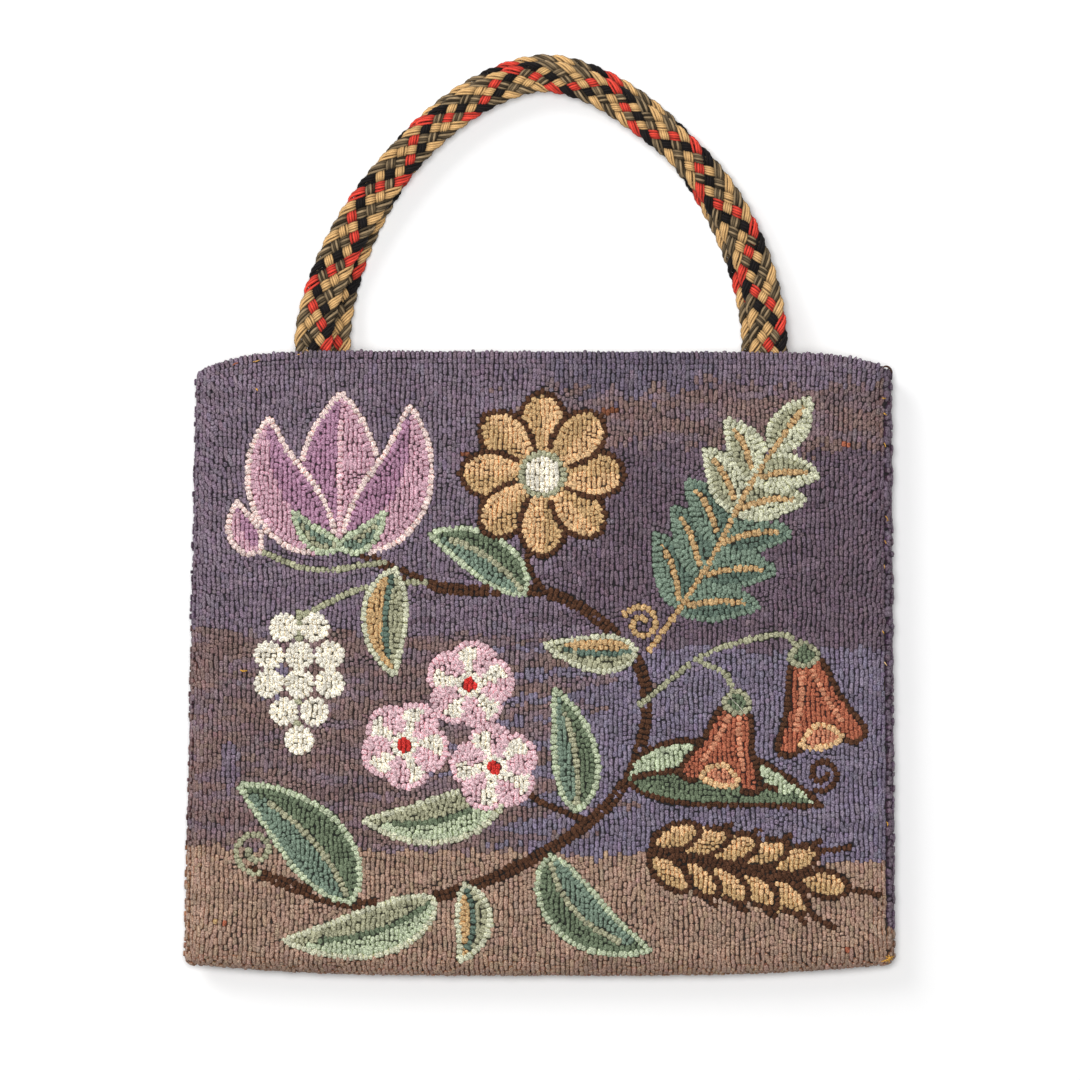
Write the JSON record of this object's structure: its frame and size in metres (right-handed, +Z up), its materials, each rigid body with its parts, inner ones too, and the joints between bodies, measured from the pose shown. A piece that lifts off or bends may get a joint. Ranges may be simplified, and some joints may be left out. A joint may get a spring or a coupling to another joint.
{
  "type": "hooked wool purse",
  "caption": "Flat purse of hooked wool panels sewn at the sides and base, open at the top, with plaited wool handles, lying on its back.",
  "frame": {"origin": "on the floor under the middle of the whole purse, handles included", "axes": "+X across the bag to the right seen from the front, +Y from the base to the handles, +Z up through the front, which faces up"},
  "size_m": [0.2838, 0.3688, 0.0211],
  "materials": {
    "front_wool": "hooked wool loops, matt",
    "back_wool": "hooked wool loops, matt",
    "handle_wool": "plaited wool yarn, soft sheen"
  },
  "bodies": {
    "root": {"front_panel": "front_wool", "back_panel": "back_wool", "front_handle": "handle_wool", "back_handle": "handle_wool"}
  },
  "joints": []
}
